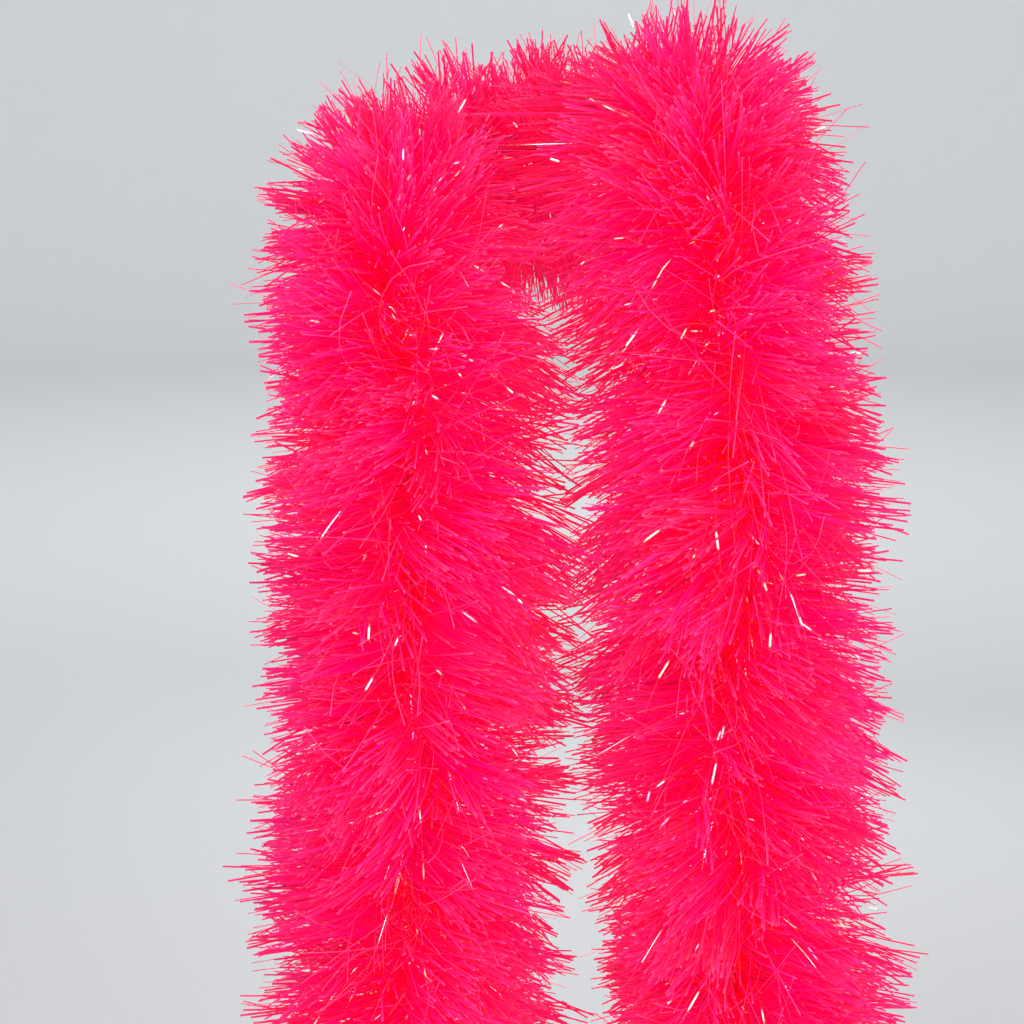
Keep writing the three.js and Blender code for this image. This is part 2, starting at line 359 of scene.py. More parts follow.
def fluorescent_nylon(pile):
    """Extruded nylon monofilament dyed with a fluorescent pigment. Every filament glows with its own colour:
    partly the pigment's fluorescence, which gives back more red than falls on it, and partly painted light that
    fills the shade in the pile, strongest at the roots. The redder colour deep in the pile is painted, for light
    that has passed through many strands, and the lighter cut ends are a painted highlight, for the light that
    they let out."""
    material, tree = new_material("fluorescent_nylon_filament")
    along = add_node(tree, "ShaderNodeAttribute", {"attribute_name": "along"})
    tint = add_node(tree, "ShaderNodeAttribute", {"attribute_name": "tint"})
    # paleness: random tone on tufted filaments, and a painted highlight on loose filaments
    tone_and_highlight = add_node(tree, "ShaderNodeAttribute", {"attribute_name": "tone_and_highlight"})
    # painted light: the roots take a redder colour for the light that has passed through many strands to reach
    # them
    depth = add_node(tree, "ShaderNodeValToRGB", links={"Fac": along.outputs["Fac"]})
    set_ramp(depth, [(0.0, linear(pile.painted_depth_color)), (0.25, linear(pile.painted_depth_color)),
                     (0.60, linear(pile.body_color)), (1.0, linear(pile.body_color))])
    # painted highlight: the outer part of each filament, and most of all its cut end, is mixed towards the tip
    # colour for the light that the ends let out
    end = add_node(tree, "ShaderNodeMapRange", inputs={"From Min": 0.72, "To Max": 0.24},
                   links={"Value": along.outputs["Fac"]})
    cut = add_node(tree, "ShaderNodeMapRange", inputs={"From Min": 0.965, "From Max": 0.985, "To Max": 0.34},
                   links={"Value": along.outputs["Fac"]})
    ends = add_node(tree, "ShaderNodeMath", {"operation": "ADD"},
                    links={0: end.outputs["Result"], 1: cut.outputs["Result"]})
    tone_and_painted_light = add_node(tree, "ShaderNodeMath", {"operation": "ADD", "use_clamp": True},
                     links={0: ends.outputs["Value"], 1: tone_and_highlight.outputs["Fac"]})
    lit = add_node(tree, "ShaderNodeMix", {"data_type": "RGBA"})
    tree.links.new(tone_and_painted_light.outputs["Value"], lit.inputs[0])
    tree.links.new(depth.outputs["Color"], lit.inputs[6])
    lit.inputs[7].default_value = linear(pile.pale_tone_and_highlight_color)
    coords = add_node(tree, "ShaderNodeTexCoord")
    batches = add_node(tree, "ShaderNodeTexNoise", inputs={"Scale": 26.0, "Detail": 1.5},
                       links={"Vector": coords.outputs["Object"]})
    patch = add_node(tree, "ShaderNodeMapRange", inputs={"From Min": 0.35, "From Max": 0.65,
                                                         "To Min": -0.006, "To Max": 0.004},
                     links={"Value": batches.outputs["Fac"]})
    hue = add_node(tree, "ShaderNodeMapRange", inputs={"To Min": 0.490, "To Max": 0.503},
                   links={"Value": tint.outputs["Fac"]})
    hue_sum = add_node(tree, "ShaderNodeMath", {"operation": "ADD"},
                       links={0: hue.outputs["Result"], 1: patch.outputs["Result"]})
    bright = add_node(tree, "ShaderNodeMapRange", inputs={"To Min": 0.74, "To Max": 1.10},
                      links={"Value": tint.outputs["Fac"]})
    dyed = add_node(tree, "ShaderNodeHueSaturation",
                    links={"Color": lit.outputs[2], "Hue": hue_sum.outputs["Value"],
                           "Value": bright.outputs["Result"]})
    # painted light: this emission fills the shade in the pile and is strongest at the roots; only part of it is
    # the pigment's fluorescence
    fluorescence_and_painted_glow = add_node(tree, "ShaderNodeMapRange", inputs={"From Min": 0.05, "From Max": 0.6,
                                                        "To Min": 0.44, "To Max": 0.29},
                    links={"Value": along.outputs["Fac"]})
    shader = add_node(tree, "ShaderNodeBsdfPrincipled",
                      inputs={"Roughness": 0.35, "IOR": 1.53, "Specular IOR Level": 0.03},
                      links={"Base Color": dyed.outputs["Color"], "Emission Color": dyed.outputs["Color"],
                             "Emission Strength": fluorescence_and_painted_glow.outputs["Result"]})
    add_node(tree, "ShaderNodeOutputMaterial", links={"Surface": shader.outputs["BSDF"]})
    return material


def iridescent_film(film):
    """Clear polyester film with an interference coating, slit to narrow strips. It is nearly invisible except for
    short patches about 6 mm long, which are painted glints in white, gold, violet or green: opaque and glowing,
    they stand in for the places where a crinkle mirrors a light."""
    material, tree = new_material("iridescent_polyester_film")
    tint = add_node(tree, "ShaderNodeAttribute", {"attribute_name": "tint"})
    along = add_node(tree, "ShaderNodeAttribute", {"attribute_name": "along"})
    strip = add_node(tree, "ShaderNodeMath", {"operation": "MULTIPLY"}, {1: 400.0}, {0: tint.outputs["Fac"]})
    run = add_node(tree, "ShaderNodeMath", {"operation": "MULTIPLY"}, {1: 7.0}, {0: along.outputs["Fac"]})
    place = add_node(tree, "ShaderNodeCombineXYZ", links={"X": run.outputs["Value"],
                                                          "Y": strip.outputs["Value"]})
    painted_glint_pattern = add_node(tree, "ShaderNodeTexNoise", inputs={"Scale": 1.0, "Detail": 0.0},
                     links={"Vector": place.outputs["Vector"]})
    painted_glint = add_node(tree, "ShaderNodeMapRange", inputs={"From Min": 0.62, "From Max": 0.72},
                     links={"Value": painted_glint_pattern.outputs["Fac"]})
    colors = add_node(tree, "ShaderNodeValToRGB", links={"Fac": tint.outputs["Fac"]})
    set_ramp(colors, [(0.0, linear("FFF6DC")), (0.35, linear(film.color)), (0.55, linear("CFC4FF")),
                      (0.72, linear("FFE3B0")), (0.9, linear(film.color)), (1.0, linear("B8F5DE"))])
    alpha = add_node(tree, "ShaderNodeMapRange", inputs={"To Min": 0.03, "To Max": 1.0},
                     links={"Value": painted_glint.outputs["Result"]})
    # painted glint: the glint patches turn opaque and glow with the film's tints
    shader = add_node(tree, "ShaderNodeBsdfPrincipled",
                      inputs={"Roughness": 0.14, "Metallic": 0.8, "IOR": 1.6},
                      links={"Base Color": colors.outputs["Color"], "Emission Color": colors.outputs["Color"],
                             "Alpha": alpha.outputs["Result"], "Emission Strength": painted_glint.outputs["Result"]})
    add_node(tree, "ShaderNodeOutputMaterial", links={"Surface": shader.outputs["BSDF"]})
    return material


def twisted_cord(core):
    """Twisted polyester cord: matt, with fine fibres lying along each ply about 0.3 mm apart. It glows with its
    own colour, as painted light that keeps shade out of the plies.
    """
    material, tree = new_material("twisted_polyester_cord")
    coords = add_node(tree, "ShaderNodeTexCoord")
    grain = add_node(tree, "ShaderNodeTexNoise", inputs={"Scale": 1200.0, "Detail": 3.0},
                     links={"Vector": coords.outputs["Object"]})
    colors = add_node(tree, "ShaderNodeValToRGB", links={"Fac": grain.outputs["Fac"]})
    dark = tuple(0.55 * v for v in linear(core.color)[:3]) + (1.0,)
    set_ramp(colors, [(0.3, dark), (0.7, linear(core.color))])
    bump = add_node(tree, "ShaderNodeBump", inputs={"Strength": 0.5, "Distance": 0.0002},
                    links={"Height": grain.outputs["Fac"]})
    # painted light: the emission keeps the plies, and the cord under the pile, from going dark
    shader = add_node(tree, "ShaderNodeBsdfPrincipled",
                      inputs={"Roughness": 0.75, "Sheen Weight": 0.1, "Sheen Roughness": 0.4,
                              "Emission Strength": 0.55},
                      links={"Base Color": colors.outputs["Color"], "Emission Color": colors.outputs["Color"],
                             "Normal": bump.outputs["Normal"]})
    add_node(tree, "ShaderNodeOutputMaterial", links={"Surface": shader.outputs["BSDF"]})
    return material


def studio_paper(stage):
    """Matt background paper with a faint tooth."""
    material, tree = new_material("studio_paper")
    coords = add_node(tree, "ShaderNodeTexCoord")
    tooth = add_node(tree, "ShaderNodeTexNoise", inputs={"Scale": 400.0, "Detail": 2.0},
                     links={"Vector": coords.outputs["Object"]})
    bump = add_node(tree, "ShaderNodeBump", inputs={"Strength": 0.05, "Distance": 0.0003},
                    links={"Height": tooth.outputs["Fac"]})
    shader = add_node(tree, "ShaderNodeBsdfPrincipled",
                      inputs={"Base Color": linear(stage.floor_color), "Roughness": 0.9},
                      links={"Normal": bump.outputs["Normal"]})
    add_node(tree, "ShaderNodeOutputMaterial", links={"Surface": shader.outputs["BSDF"]})
    return material


# ---------------------------------------------------------------- strands

def strand_template(sides, cuts, squash=1.0):
    """A closed strand one unit long on +Z: its points and faces. cuts are the heights where it may bend."""
    shape = bmesh.new()
    bmesh.ops.create_cone(shape, cap_ends=True, segments=sides, radius1=1, radius2=1, depth=1,
                          matrix=Matrix.Translation((0, 0, 0.5)))
    for height in cuts:
        geometry = shape.verts[:] + shape.edges[:] + shape.faces[:]
        bmesh.ops.bisect_plane(shape, geom=geometry, plane_co=(0, 0, height), plane_no=(0, 0, 1))
    bmesh.ops.scale(shape, vec=(1, squash, 1), verts=shape.verts[:])
    bmesh.ops.recalc_face_normals(shape, faces=shape.faces[:])
    shape.verts.index_update()
    points = np.array([v.co[:] for v in shape.verts])
    faces = [[v.index for v in f.verts] for f in shape.faces]
    shape.free()
    return points, faces


def repeat_template(name, points, faces, placed, attributes, smooth):
    """One mesh of many bent copies of a template. placed holds each copy's points, and attributes each
    copy's value, or a value for each of its points."""
    count, size = placed.shape[:2]
    loop_totals = np.array([len(f) for f in faces])
    corners = np.concatenate([np.array(f) for f in faces])
    mesh = bpy.data.meshes.new(name)
    mesh.vertices.add(count * size)
    mesh.vertices.foreach_set("co", placed.reshape(-1).astype(np.float32))
    offsets = (np.arange(count) * size)[:, None]
    mesh.loops.add(count * len(corners))
    mesh.loops.foreach_set("vertex_index", (corners[None] + offsets).reshape(-1).astype(np.int32))
    mesh.polygons.add(count * len(faces))
    starts = np.concatenate([[0], np.cumsum(loop_totals)[:-1]])
    loop_offsets = (np.arange(count) * len(corners))[:, None]
    mesh.polygons.foreach_set("loop_start", (starts[None] + loop_offsets).reshape(-1).astype(np.int32))
    mesh.polygons.foreach_set("use_smooth", np.full(count * len(faces), smooth))
    for key, values in attributes.items():
        full = np.broadcast_to(values.reshape(count, -1), (count, size))
        layer = mesh.attributes.new(key, "FLOAT", "POINT")
        layer.data.foreach_set("value", full.reshape(-1).astype(np.float32))
    mesh.update(calc_edges=True)
    mesh.validate()
    piece = bpy.data.objects.new(name, mesh)
    bpy.context.scene.collection.objects.link(piece)
    return piece


def clear_of_neck(points, rng):
    """Points inside the neck are pushed out to lie on it, each strand at its own small depth."""
    depth = NECK_RADIUS + 0.0015 + 0.004 * rng.random((len(points), 1))
    flat = np.linalg.norm(points[..., :2], axis=-1)
    scale = np.where(flat < depth, depth / np.maximum(flat, 1e-6), 1.0)
    pushed = points.copy()
    pushed[..., :2] *= scale[..., None]
    return pushed


def bend_strands(template, roots, ways, bends, curls, lengths, radii, rng):
    """Each strand's points: its middle line leaves the root along ways, bends by bends and curls, and the
    template's cross-section stands square to it."""
    t = template[:, 2]
    span = lengths[:, None, None]

    def middle(share):
        s = share[None, :, None]
        line = ways[:, None] * s + bends[:, None] * s ** 2 + curls[:, None] * s ** 3
        return clear_of_neck(roots[:, None] + span * line, np.random.default_rng(5))

    step = 0.02
    centre = middle(t)
    tangent = unit(middle(t + step) - middle(t - step))
    aside = unit(rng.normal(size=(len(roots), 1, 3)))
    across = unit(np.cross(tangent, aside))
    up = np.cross(tangent, across)
    taper = (0.85 + 0.3 * t)[None, :, None] * radii[:, None, None]
    return centre + taper * (template[None, :, 0, None] * across + template[None, :, 1, None] * up)


def tuft_layout(stretch, pile, rng):
    """Tufts of one stretch: place along the core, angle round it, and reach. They wind round the core by the
    golden angle, so that they stand clear of each other, and crowd a little on the spiral's three ridges."""
    count = int((stretch.end - stretch.start) / MM * pile.per_mm / pile.tuft_size)
    order = np.arange(count)
    place = stretch.start + (stretch.end - stretch.start) * (order + rng.random(count)) / count
    share = PILE_STARTS * ((GOLDEN_TURN * order + rng.random()) % 1.0)
    spread = (share % 1 - 0.5) * 2 * math.pi / PILE_STARTS
    spread = spread - 0.12 * np.sin(PILE_STARTS * spread)
    ridge = np.floor(share) * 2 * math.pi / PILE_STARTS
    angle = 2 * math.pi * place / SPIRAL_TURN + ridge + spread + rng.normal(0, 0.07, count)
    crest = 0.5 + 0.5 * np.cos(PILE_STARTS * spread)
    reach = pile.reach * (0.90 + 0.115 * crest) * rng.normal(1.0, 0.05, count).clip(0.87, 1.10)
    return place, angle, spread, reach


def directions(place, angle, lean_along, lean_round):
    """Unit directions out of the core, leaned along it and round it, with the core's own points. Near the
    free ends they splay out over the end."""
    point, tangent, normal, across = ROUTE.at(place)
    splay = 0.9 / END_SPLAY
    lean_along = lean_along - splay * (END_SPLAY - (place - END_PLACES["left"])).clip(0, END_SPLAY)
    lean_along = lean_along + splay * (END_SPLAY - (END_PLACES["right"] - place)).clip(0, END_SPLAY)
    round_angle = (angle + lean_round)[:, None]
    out = normal * np.cos(round_angle) + across * np.sin(round_angle)
    return point, unit(out + tangent * np.tan(lean_along)[:, None]), tangent


def run_length(way, bend, curl):
    """How long a unit strand's bent middle line is, from its speeds at the root, the middle and the tip."""
    root = np.linalg.norm(way, axis=-1)
    middle = np.linalg.norm(way + bend + 0.75 * curl, axis=-1)
    tip = np.linalg.norm(way + 2 * bend + 3 * curl, axis=-1)
    return (root + 4 * middle + tip) / 6


def side_sweep(way, core, tangent, jitter):
    """Turns the filaments on the front and back of the pile towards its two sides, as they fall when the boa
    lies on a body. Where the core itself points forwards there is nothing to part, and this fades out. The
    parting wanders from side to side. Also gives how far forwards each one faces."""
    height = core[:, 2] + 0.4 * core[:, 0]
    wander = 0.62 * np.sin(height / 0.026) + 0.42 * np.sin(height / 0.0115 + 1.0)
    front = np.stack([np.sin(wander), -np.cos(wander), np.zeros(len(way))], -1)
    facing = front - (tangent * front).sum(-1, keepdims=True) * tangent
    side = np.cross(tangent, facing)
    c = (way * facing).sum(-1)
    s = (way * side).sum(-1)
    turn = c[:, None] * side - s[:, None] * facing
    return (c * np.abs(c) * np.sign(s + jitter))[:, None] * turn, c


def fall(way, core, tangent, pile, rng):
    """The bend of some filaments by their own weight: the front and back ones to the sides, all of them
    down, and the upright ones over in any direction. The left tail's outer side stands the most level. Also
    gives how far forwards each one faces."""
    n = len(way)
    swept, facing = side_sweep(way, core, tangent, rng.normal(0, 0.38, n))
    up = way[:, 2].clip(0, 1)
    level = np.sqrt(np.maximum(1 - way[:, 2] ** 2, 0.0))
    outer_left = ((core[:, 0] < 0) * -way[:, 0]).clip(0, 1)
    sag = pile.droop * rng.normal(1.0, 0.40, n).clip(0.1, 2.1) * (0.3 + 0.7 * level)
    sag = sag * (1 - 0.75 * outer_left) * (1 - 0.5 * facing.clip(0, 1) ** 2)
    bend = rng.normal(0, 0.09, (n, 3)) * (1 + 3.0 * up)[:, None]
    bend += swept * (pile.sweep * rng.uniform(0.62, 1.5, n))[:, None]
    bend[:, 2] -= sag
    return bend - (bend * way).sum(-1, keepdims=True) * way, facing


def side_shift(way, core):
    """How much longer each filament is for the way that it points: the tails' pile lies towards the other
    tail, but for the right tail's lower half, and it lies flatter on the outside of each shoulder."""
    tail = ((-core[:, 1] - 0.03) / 0.06).clip(0, 1)
    low = ((-0.20 - core[:, 2]) / 0.16).clip(0, 1)
    left = core[:, 0] < 0
    outwards = np.where(left, -way[:, 0], way[:, 0])
    shift = tail * np.where(left, 0.009 - 0.012 * low, -0.007 + 0.017 * low)
    lower = tail * low * np.where(left, 0.0035, np.where(outwards > 0, 0.004, -0.007)) * np.abs(outwards)
    band = np.where(left, (core[:, 2] + 0.012) / 0.028, (core[:, 2] + 0.055) / 0.050)
    flat = np.where(left, -0.013, -0.010) * np.exp(-band ** 2)
    flat = flat + (1 - tail) * np.where(left, 0.0, -0.011)
    meeting = 0.007 * np.exp(-((core[:, 2] + 0.14) / 0.05) ** 2)
    return shift * way[:, 0] + lower + flat * outwards.clip(0, 1) + meeting * (-outwards).clip(0, 1)


def join(*groups):
    """Strand groups put end to end, array by array."""
    return [np.concatenate(arrays) for arrays in zip(*groups)]


def tufted_strands(stretch, pile, count, rng):
    """The filaments that gather into tufts: each aims at its tuft's tip and comes to it in its own arc."""
    place, angle, spread, reach = tuft_layout(stretch, pile, rng)
    tufts = len(place)
    gather = -0.10 * np.sin(PILE_STARTS * spread)
    core, axis, tangent = directions(place, angle, rng.normal(0, 0.13, tufts), gather)
    bend, facing = fall(axis, core, tangent, pile, rng)
    owner = np.repeat(np.arange(tufts), max(1, count // tufts))
    n = len(owner)
    root_place = place[owner] + rng.normal(0, 0.0045, n)
    root_place = root_place.clip(END_PLACES["left"] + 0.002, END_PLACES["right"] - 0.002)
    root, _, _, _ = ROUTE.at(root_place)
    tightness = (rng.uniform(0.025, 0.06, tufts) * (1 + 2.5 * facing.clip(0, 1) ** 2))[owner][:, None]
    aim = axis[owner] + (core[owner] - root) / pile.reach + rng.normal(0, 1, (n, 3)) * tightness
    curl = rng.normal(0, 0.095, (n, 3))
    way = aim - curl
    up = axis[owner][:, 2].clip(0, 1)
    share = np.where(rng.random(n) < 0.30, rng.normal(0.985, 0.035, n), rng.uniform(0.62, 0.95, n))
    longest = reach + side_shift(axis, core)
    length = longest[owner] * share.clip(0.6, 1.03) * (1 - 0.13 * up ** 2)
    tint = (0.5 * rng.random(tufts)[owner] + 0.5 * rng.random(n))
    return [root, way, bend[owner], curl, length / run_length(way, bend[owner], curl), tint, 0.15 * tint ** 3]


def filling_strands(stretch, pile, count, rng):
    """Shorter filaments on their own, all round, that close the pile between the tufts."""
    place = stretch.start + (stretch.end - stretch.start) * rng.random(count)
    core, way, tangent = directions(place, rng.uniform(0, 2 * math.pi, count), rng.normal(0, 0.22, count),
                                    np.zeros(count))
    short = rng.random(count) < 0.45
    bend = np.where(short, 0.15, 0.9)[:, None] * fall(way, core, tangent, pile, rng)[0]
    way = way + np.where(short, 0.35, 0.05)[:, None] * rng.normal(0, 1, (count, 3))
    curl = rng.normal(0, 0.07, (count, 3))
    share = np.where(short, rng.uniform(0.10, 0.45, count), rng.uniform(0.5, 0.9, count))
    length = pile.reach * share / run_length(way, bend, curl)
    return [core, way, bend, curl, length, rng.random(count), np.zeros(count)]


def loose_strands(stretch, pile, count, rng):
    """Filaments that spring out of the pile and arch over its surface. They are painted lighter, as a highlight
    for the light that falls on them there.
    """
    place = stretch.start + (stretch.end - stretch.start) * rng.random(count)
    core, way, tangent = directions(place, rng.uniform(0, 2 * math.pi, count), rng.normal(0, 0.3, count),
                                    np.zeros(count))
    over = np.cross(way, unit(rng.normal(size=(count, 3))))
    bend = over * rng.uniform(0.4, 1.5, count)[:, None]
    curl = rng.normal(0, 0.48, (count, 3))
    length = pile.reach * rng.uniform(0.70, 1.08, count) / run_length(way, bend, curl)
    # painted highlight: the loose filaments lie over the pile, so they are made lighter for the light that falls
    # on them
    return [core, way, bend, curl, length, rng.random(count), rng.uniform(0.1, 0.7, count)]


def finish_piece(piece, stretch, material, node_prefix):
    piece.data.materials.append(material)
    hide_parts(*[f"{node_prefix}_{node}" for node in stretch.nodes])
    stretch.attach(piece)


def trim_ends(strands):
    """Cuts the filaments at the boa's two ends to a rounded end, just below the core's, and the few longest
    at its sides."""
    root, way, bend, curl, length, tint, tone_and_highlight = strands
    run = (way + bend + curl) * length[:, None]
    kept = np.ones(len(root))
    for gone, room in ((-run[:, 2], root[:, 2] - (HINGE_Z[0] - TAIL_LENGTH - END_TRIM)),
                       (run[:, 0], SIDE_TRIM - root[:, 0]), (-run[:, 0], SIDE_TRIM + root[:, 0])):
        kept = np.minimum(kept, np.where(gone > room, room / np.maximum(gone, 1e-6), 1.0).clip(0.1, 1))
    return root, way, bend, curl, length * kept, tint, tone_and_highlight


def strand_piece(name, shape, strands, radius, rng):
    """One mesh of bent strands, which carries how far along its strand each point is, and each strand's tint
    and paleness: random tone on the tufted filaments, and a painted highlight on the loose ones."""
    template, faces = shape
    root, way, bend, curl, length, tint, tone_and_highlight = trim_ends(strands)
    radii = radius * rng.normal(1.0, 0.12, len(root)).clip(0.7, 1.35)
    placed = bend_strands(template, root, way, bend, curl, length, radii, rng)
    along = np.broadcast_to(template[:, 2], placed.shape[:2])
    return repeat_template(name, template, faces, placed, {"along": along, "tint": tint, "tone_and_highlight": tone_and_highlight}, True)


class BOA_OT_pile(bpy.types.Operator):
    """Cut nylon filaments of every stretch, in tufts along the spiral, with loose ones over them"""
    bl_idname = "boa.pile"
    bl_label = "Filament pile"

    def execute(self, context):
        pile = context.scene.boa_pile
        material = fluorescent_nylon(pile)
        stiff = strand_template(3, (0.36, 0.70), pile.flatness)
        wavy = strand_template(3, (0.14, 0.28, 0.42, 0.56, 0.70, 0.84), pile.flatness)
        radius = pile.filament / math.sqrt(3)
        for number, stretch in enumerate(STRETCHES):
            rng = np.random.default_rng([pile.seed, number])
            total = int((stretch.end - stretch.start) / MM * pile.per_mm)
            loose = int(total * pile.loose)
            filling = int(total * pile.filling)
            strands = join(tufted_strands(stretch, pile, total - loose - filling, rng),
                           filling_strands(stretch, pile, filling, rng))
            piece = strand_piece(f"filaments_{stretch.name}", stiff, strands, radius, rng)
            finish_piece(piece, stretch, material, "pile")
            strands = loose_strands(stretch, pile, loose, rng)
            piece = strand_piece(f"loose_filaments_{stretch.name}", wavy, strands, 0.52 * radius, rng)
            finish_piece(piece, stretch, material, "pile")
        return {"FINISHED"}


class BOA_OT_film(bpy.types.Operator):
    """Narrow iridescent film strips, scattered among the filaments"""
    bl_idname = "boa.film"
    bl_label = "Film strips"

    def execute(self, context):
        film = context.scene.boa_film
        pile = context.scene.boa_pile
        material = iridescent_film(film)
        template, faces = strand_template(4, (0.2, 0.4, 0.6, 0.8), film.thickness / film.width)
        for number, stretch in enumerate(STRETCHES):
            rng = np.random.default_rng([pile.seed, 100 + number])
            n = max(3, int((stretch.end - stretch.start) / MM * film.per_mm))
            place = stretch.start + (stretch.end - stretch.start) * rng.random(n)
            core, way, _ = directions(place, rng.uniform(0, 2 * math.pi, n), rng.normal(0, 0.35, n),
                                      np.zeros(n))
            bend = rng.normal(0, 0.16, (n, 3))
            bend[:, 2] -= pile.droop
            curl = rng.normal(0, 0.12, (n, 3))
            length = pile.reach * rng.uniform(0.86, 1.03, n) / run_length(way, bend, curl)
            half_width = np.full(n, film.width / 2)
            strands = trim_ends([core, way, bend, curl, length, rng.random(n), np.zeros(n)])
            placed = bend_strands(template, *strands[:5], half_width, rng)
            attributes = {"along": np.broadcast_to(template[:, 2], placed.shape[:2]), "tint": rng.random(n)}
            piece = repeat_template(f"film_strips_{stretch.name}", template, faces, placed, attributes, True)
            finish_piece(piece, stretch, material, "film")
        return {"FINISHED"}


# ---------------------------------------------------------------- core and whippings

def tube_along(shape, centres, across, up, radius, sides):
    """A closed round tube through some centres, in an open bmesh: a circle extruded from ring to ring."""
    first = bmesh.ops.create_circle(shape, cap_ends=True, segments=sides, radius=1)
    ring = first["verts"]
    turns = [(v.co.x, v.co.y) for v in ring]
    face = ring[0].link_faces[0]
    for k, centre in enumerate(centres):
        if k > 0:
            grown = bmesh.ops.extrude_face_region(shape, geom=[face], use_keep_orig=k == 1)
            face = [g for g in grown["geom"] if isinstance(g, bmesh.types.BMFace)][0]
            grown_ring = [loop.vert for loop in face.loops]
            ring = match_ring(grown_ring, ring)
        for vert, (x, y) in zip(ring, turns):
            vert.co = Vector(centre + radius * (x * across[k] + y * up[k]))


def match_ring(grown, before):
    """The extruded ring's points in the order of the ring that they came from."""
    found = []
    for vert in before:
        found.append(min(grown, key=lambda g: (g.co - vert.co).length_squared))
    return found


def core_frames(start, end, step):
    count = max(2, int(round((end - start) / step)) + 1)
    place = np.linspace(start, end, count)
    return place, ROUTE.at(place)


class BOA_OT_core(bpy.types.Operator):
    """Two-ply twisted core cord, one piece for each stretch"""
    bl_idname = "boa.core"
    bl_label = "Core cord"

    def execute(self, context):
        core = context.scene.boa_core
        material = twisted_cord(core)
        collar = Stretch("collar", SECTION / 2, ROUTE.collar_length - SECTION / 2, ["collar"], ["collar"])
        tails = tail_stretches("left") + tail_stretches("right")
        for stretch in [collar] + tails:
            self.make_cord(stretch, core, material)
        return {"FINISHED"}

    def make_cord(self, stretch, core, material):
        place, (centre, tangent, normal, across) = core_frames(stretch.start, stretch.end, 0.0015)
        shape = bmesh.new()
        offset = CORE_RADIUS * 0.5
        for ply in range(2):
            turn = (2 * math.pi * place / core.ply_turn + ply * math.pi)[:, None]
            line = centre + offset * (normal * np.cos(turn) + across * np.sin(turn))
            tube_along(shape, line, normal, across, CORE_RADIUS * 0.52, 8)
        bmesh.ops.recalc_face_normals(shape, faces=shape.faces[:])
        mesh = bpy.data.meshes.new(f"core_cord_{stretch.name}")
        shape.to_mesh(mesh)
        shape.free()
        mesh.polygons.foreach_set("use_smooth", np.full(len(mesh.polygons), True))
        piece = bpy.data.objects.new(mesh.name, mesh)
        bpy.context.scene.collection.objects.link(piece)
        finish_piece(piece, stretch, material, "core")


class BOA_OT_whipping(bpy.types.Operator):
    """Thread bound tightly round each end of the core"""
    bl_idname = "boa.whipping"
    bl_label = "End whippings"

    def execute(self, context):
        core = context.scene.boa_core
        # the thread shares the cord's painted glow
        material = twisted_cord(core)
        material.name = "bound_polyester_thread"
        for side in SIDES:
            low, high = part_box(f"end_whipping_{side}")
            middle = (low + high) / 2
            turns = int((high.z - low.z) / core.thread)
            coil_radius = CORE_RADIUS + 0.55 * core.thread
            shape = bmesh.new()
            start = Matrix.Translation((middle.x + coil_radius, middle.y, low.z + core.thread / 2))
            ring = bmesh.ops.create_circle(shape, cap_ends=True, segments=6, radius=core.thread / 2,
                                           matrix=start @ Matrix.Rotation(math.pi / 2, 4, "X"))
            geometry = ring["verts"] + shape.edges[:] + shape.faces[:]
            rise = high.z - low.z - core.thread
            steps = turns * 16
            bmesh.ops.spin(shape, geom=geometry, cent=middle, axis=(0, 0, 1),
                           dvec=(0, 0, rise / steps), angle=2 * math.pi * turns, steps=steps)
            bmesh.ops.remove_doubles(shape, verts=shape.verts[:], dist=1e-6)
            bmesh.ops.recalc_face_normals(shape, faces=shape.faces[:])
            mesh = bpy.data.meshes.new(f"whipping_thread_{side}")
            shape.to_mesh(mesh)
            shape.free()
            mesh.polygons.foreach_set("use_smooth", np.full(len(mesh.polygons), True))
            piece = bpy.data.objects.new(mesh.name, mesh)
            bpy.context.scene.collection.objects.link(piece)
            piece.data.materials.append(material)
            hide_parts(f"end_whipping_{side}")
            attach(piece, f"{side}_section_{HINGES}")
        return {"FINISHED"}


# ---------------------------------------------------------------- stage

def aim_at(thing, target):
    way = Vector(target) - thing.location
    thing.rotation_euler = way.to_track_quat("-Z", "Y").to_euler()


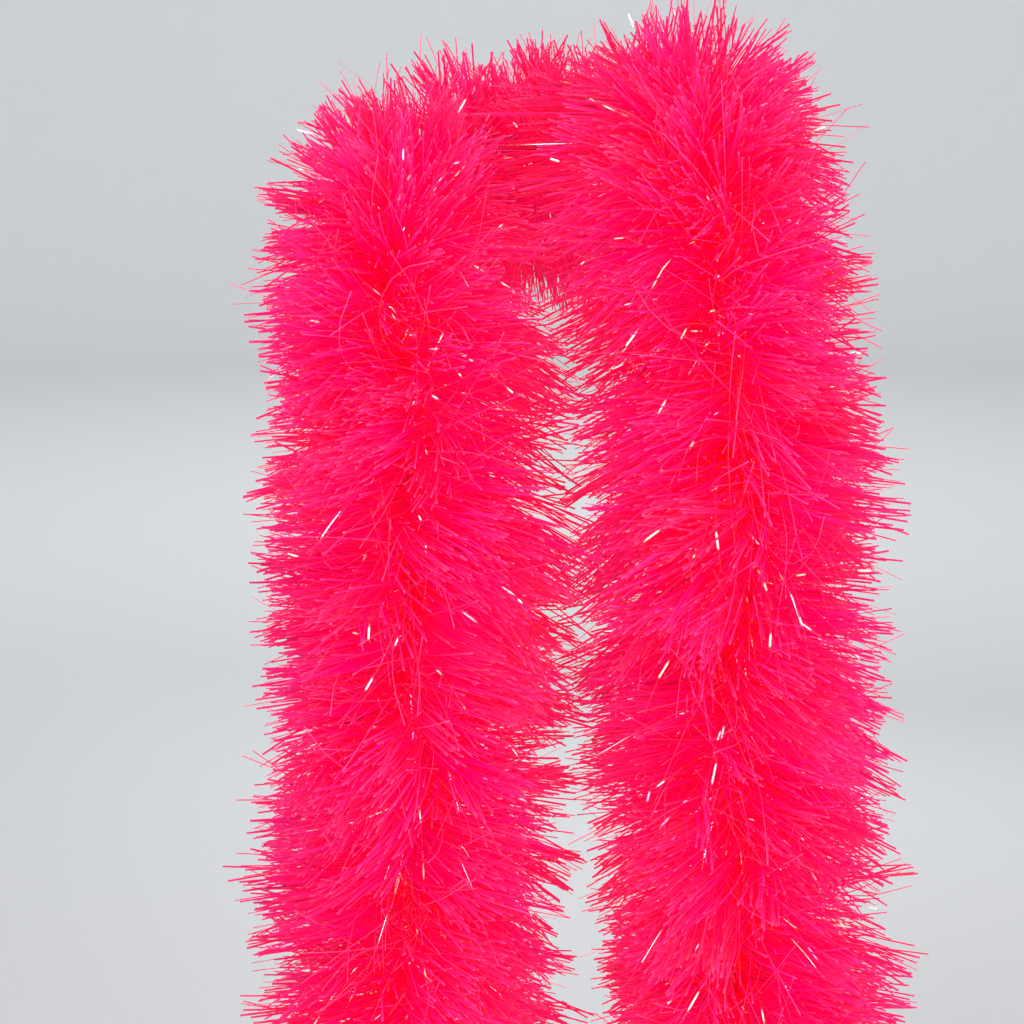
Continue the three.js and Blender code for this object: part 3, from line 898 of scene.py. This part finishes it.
class BOA_OT_stage(bpy.types.Operator):
    """Pale floor and backdrop, soft lights and the camera"""
    bl_idname = "boa.stage"
    bl_label = "Stage"

    def execute(self, context):
        stage = context.scene.boa_stage
        self.add_camera(context, stage)
        self.add_paper(context, stage)
        self.add_light(context, "key_softbox", (-0.9, -1.5, 0.9), 1.3, 34.0)
        self.add_light(context, "fill_softbox", (1.2, -1.3, 0.2), 1.2, 20.0)
        self.add_light(context, "top_softbox", (0.1, 0.3, 1.5), 1.2, 9.0)
        self.add_light(context, "back_softbox", (0.3, 1.5, 0.3), 1.4, 6.0)
        for quarter in range(4):
            out = Matrix.Rotation(quarter * math.pi / 2, 3, "Z") @ Vector((0, 1, 0))
            self.add_light(context, f"backdrop_softbox_{quarter + 1}", out * 2.4 + Vector((0, 0, 2.0)), 1.6, 75.0,
                           out * 6.0 + Vector((0, 0, -0.2)))
        world = bpy.data.worlds.new("studio")
        context.scene.world = world
        world.use_nodes = True
        world.node_tree.nodes["Background"].inputs["Color"].default_value = linear("F2F4F6")
        world.node_tree.nodes["Background"].inputs["Strength"].default_value = 0.43
        context.scene.view_settings.view_transform = "Standard"
        return {"FINISHED"}

    def add_camera(self, context, stage):
        data = bpy.data.cameras.new("camera")
        camera = bpy.data.objects.new("camera", data)
        context.scene.collection.objects.link(camera)
        rise = stage.eye_height - stage.aim_z
        back = math.sqrt(stage.distance ** 2 - rise ** 2)
        camera.location = (stage.aim_x, TAIL_Y - back, stage.eye_height)
        aim_at(camera, (stage.aim_x, TAIL_Y, stage.aim_z))
        data.lens = data.sensor_width * stage.distance / stage.view_width
        context.scene.camera = camera

    def add_paper(self, context, stage):
        """A round floor that turns up all round into a low wall."""
        floor_z = CAD_BOX[0][2] - 0.12
        flat, bend, rise = 5.0, 1.2, 2.0
        shape = bmesh.new()
        edge = shape.verts.new((flat, 0, 0))
        bmesh.ops.spin(shape, geom=[edge], cent=(flat, 0, bend), axis=(0, -1, 0), angle=math.pi / 2, steps=12)
        for start, way in ((min(shape.verts, key=lambda v: v.co.x), Vector((-flat, 0, 0))),
                           (max(shape.verts, key=lambda v: v.co.z), Vector((0, 0, rise)))):
            grown = bmesh.ops.extrude_vert_indiv(shape, verts=[start])
            bmesh.ops.translate(shape, vec=way, verts=grown["verts"])
        bmesh.ops.spin(shape, geom=shape.verts[:] + shape.edges[:], cent=(0, 0, 0), axis=(0, 0, 1),
                       angle=2 * math.pi, steps=72, use_merge=True)
        bmesh.ops.remove_doubles(shape, verts=shape.verts[:], dist=1e-4)
        bmesh.ops.recalc_face_normals(shape, faces=shape.faces[:])
        bmesh.ops.translate(shape, vec=(0, 0, floor_z), verts=shape.verts[:])
        mesh = bpy.data.meshes.new("floor")
        shape.to_mesh(mesh)
        shape.free()
        mesh.polygons.foreach_set("use_smooth", np.full(len(mesh.polygons), True))
        floor = bpy.data.objects.new("floor", mesh)
        floor.data.materials.append(studio_paper(stage))
        context.scene.collection.objects.link(floor)

    def add_light(self, context, name, place, size, power, target=(0, TAIL_Y, -0.25)):
        data = bpy.data.lights.new(name, "AREA")
        data.size = size
        data.energy = power
        light = bpy.data.objects.new(name, data)
        light.location = place
        context.scene.collection.objects.link(light)
        aim_at(light, target)


class BOA_PT_panel(bpy.types.Panel):
    bl_idname = "BOA_PT_panel"
    bl_label = "Filament boa"
    bl_space_type = "VIEW_3D"
    bl_region_type = "UI"
    bl_category = "Boa"

    def draw(self, context):
        for settings, operators in PANEL_ROWS:
            for key in getattr(context.scene, settings).bl_rna.properties.keys():
                if key not in ("rna_type", "name"):
                    self.layout.prop(getattr(context.scene, settings), key)
            for operator in operators:
                self.layout.operator(operator)


PANEL_ROWS = [
    ("boa_stage", ["boa.stage"]),
    ("boa_core", ["boa.core", "boa.whipping"]),
    ("boa_pile", ["boa.pile"]),
    ("boa_film", ["boa.film"]),
]
SETTINGS = {"boa_pile": BoaPileSettings, "boa_film": BoaFilmSettings, "boa_core": BoaCoreSettings,
            "boa_stage": BoaStageSettings}
CLASSES = [*SETTINGS.values(), BOA_OT_stage, BOA_OT_core, BOA_OT_whipping, BOA_OT_pile, BOA_OT_film,
           BOA_PT_panel]


def register():
    for cls in CLASSES:
        bpy.utils.register_class(cls)
    for name, cls in SETTINGS.items():
        setattr(bpy.types.Scene, name, bpy.props.PointerProperty(type=cls))


def unregister():
    for name in SETTINGS:
        delattr(bpy.types.Scene, name)
    for cls in reversed(CLASSES):
        bpy.utils.unregister_class(cls)


def main():
    register()
    bpy.ops.boa.stage()
    bpy.ops.boa.core()
    bpy.ops.boa.whipping()
    bpy.ops.boa.pile()
    bpy.ops.boa.film()


if __name__ == "__main__":
    main()
